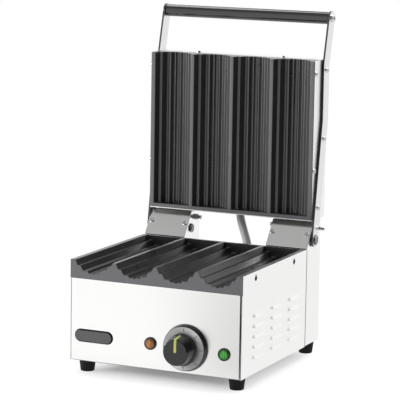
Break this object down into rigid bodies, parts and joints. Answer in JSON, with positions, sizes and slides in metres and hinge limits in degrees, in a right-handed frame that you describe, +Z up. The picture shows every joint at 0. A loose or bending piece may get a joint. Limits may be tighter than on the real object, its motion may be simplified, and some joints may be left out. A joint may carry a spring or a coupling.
{
  "type": "hot dog contact grill",
  "caption": "Countertop contact grill with ribbed trough plates, a sheet-steel body on rubber feet, and a hinged lid with side arms and a round bar handle, shown open.",
  "frame": {"origin": "on the table, under the middle of the object's box with the lid open", "axes": "+Z up, +X to the right as seen from the front, +Y from the front panel to the back"},
  "size_m": [0.301, 0.3707, 0.5346],
  "materials": {
    "stainless_sheet": "brushed, satin",
    "arm_steel": "satin flat bar",
    "fastener_steel": "zinc-plated",
    "cast_nonstick": "cast, dark grey non-stick coating",
    "element_tube": "heat-darkened tube",
    "black_moulding": "satin",
    "knob_moulding": "semi-gloss",
    "pointer_inlay": "yellow-green inlay",
    "dial_metal": "brushed disc",
    "amber_lens": "moulded, clear amber",
    "green_lens": "moulded, clear green",
    "grip_phenolic": "satin black",
    "foot_rubber": "matte",
    "conduit_sleeve": "smooth grey sleeve",
    "terminal_ceramic": "ceramic-white"
  },
  "bodies": {
    "base": {"front_panel": "stainless_sheet", "left_side_panel": "stainless_sheet", "right_side_panel": "stainless_sheet", "bottom_plate": "stainless_sheet", "rear_panel": "stainless_sheet", "rear_deck": "stainless_sheet", "left_hinge_housing": "stainless_sheet", "right_hinge_housing": "stainless_sheet", "left_hinge_cover": "stainless_sheet", "right_hinge_cover": "stainless_sheet", "hinge_cover_screws": "fastener_steel", "lower_plate": "cast_nonstick", "plate_pins": "fastener_steel", "lower_element": "element_tube", "lower_clamps": "stainless_sheet", "lower_clamp_screws": "fastener_steel", "thermostat": "black_moulding", "thermostat_screws": "fastener_steel", "dial_bezel": "black_moulding", "dial_scale": "dial_metal", "amber_lamp": "black_moulding", "amber_lens": "amber_lens", "green_lamp": "black_moulding", "green_lens": "green_lens", "badge_plate": "black_moulding", "foot_front_left": "foot_rubber", "foot_front_right": "foot_rubber", "foot_rear_left": "foot_rubber", "foot_rear_right": "foot_rubber", "foot_screws": "fastener_steel", "terminal_block": "terminal_ceramic", "left_pivot_bolt": "fastener_steel", "right_pivot_bolt": "fastener_steel", "pivot_nuts": "fastener_steel", "left_stop_stud": "fastener_steel", "right_stop_stud": "fastener_steel", "stop_stud_nuts": "fastener_steel", "base_conduit_gland": "black_moulding", "flexible_conduit": "conduit_sleeve", "mains_gland": "black_moulding"},
    "lid": {"lid_cover": "stainless_sheet", "upper_plate": "cast_nonstick", "upper_element": "element_tube", "upper_clamps": "stainless_sheet", "upper_clamp_screws": "fastener_steel", "left_arm": "arm_steel", "right_arm": "arm_steel", "handle_grip": "grip_phenolic", "handle_rod": "arm_steel", "handle_screws": "fastener_steel", "arm_screws": "fastener_steel", "lid_side_screws": "fastener_steel", "lid_front_screws": "fastener_steel", "lid_conduit_gland": "black_moulding"},
    "knob": {"control_knob": "knob_moulding", "knob_pointer": "pointer_inlay", "thermostat_shaft": "fastener_steel"}
  },
  "joints": [
    {"name": "lid_hinge", "type": "hinge", "parent": "base", "child": "lid", "pos_m": [0, 0.12635, 0.184], "axis": [1, 0, 0], "range_deg": [0, 90], "deforming": ["flexible_conduit"]},
    {"name": "knob_turn", "type": "hinge", "parent": "base", "child": "knob", "pos_m": [0.0515, -0.16075, 0.059], "axis": [0, 1, 0], "range_deg": [0, 270]}
  ]
}
